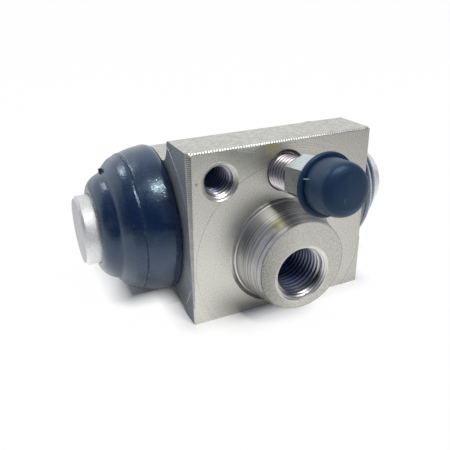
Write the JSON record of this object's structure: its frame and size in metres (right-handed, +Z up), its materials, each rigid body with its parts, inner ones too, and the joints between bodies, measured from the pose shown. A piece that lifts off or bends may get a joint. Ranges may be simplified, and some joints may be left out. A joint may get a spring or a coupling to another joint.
{
  "type": "wheel cylinder",
  "caption": "Double-acting drum brake wheel cylinder: machined block with a threaded pipe spigot, rubber-booted opposed pistons and a capped bleed screw.",
  "frame": {"origin": "on the flat mounting face, at the axis of the round spigot", "axes": "+X along the bore to the right piston, +Y into the housing (the spigot and bleed screw point to -Y), +Z up through the bleed screw's side"},
  "size_m": [0.068, 0.0534, 0.0345],
  "materials": {
    "housing_alloy": "fine machined",
    "piston_alloy": "satin turned",
    "plated_steel": "zinc plated",
    "spring_steel": "plain",
    "boot_rubber": "satin",
    "cap_rubber": "satin",
    "cup_rubber": "matt"
  },
  "bodies": {
    "housing": {"housing": "housing_alloy", "dust_boot_left": "boot_rubber", "dust_boot_right": "boot_rubber", "return_spring": "spring_steel"},
    "piston_left": {"piston_left": "piston_alloy", "cup_seal_left": "cup_rubber", "cup_expander_left": "plated_steel"},
    "piston_right": {"piston_right": "piston_alloy", "cup_seal_right": "cup_rubber", "cup_expander_right": "plated_steel"},
    "bleed_screw": {"bleed_screw": "plated_steel"},
    "bleed_cap": {"bleed_cap": "cap_rubber"}
  },
  "joints": [
    {"name": "piston_left_slide", "type": "slide", "parent": "housing", "child": "piston_left", "axis": [-1, 0, 0], "range_m": [-0.002, 0.004], "deforming": ["dust_boot_left", "return_spring"]},
    {"name": "piston_right_slide", "type": "slide", "parent": "housing", "child": "piston_right", "axis": [1, 0, 0], "range_m": [-0.001, 0.005], "deforming": ["dust_boot_right", "return_spring"]},
    {"name": "bleed_screw_turn", "type": "hinge", "parent": "housing", "child": "bleed_screw", "pos_m": [0.0004, 0, 0.01555], "axis": [-0.0362, -0.9884, 0.1478], "range_deg": [0, 180]},
    {"name": "bleed_cap_slide", "type": "slide", "parent": "bleed_screw", "child": "bleed_cap", "axis": [-0.0362, -0.9884, 0.1478], "range_m": [0, 0.014]}
  ]
}
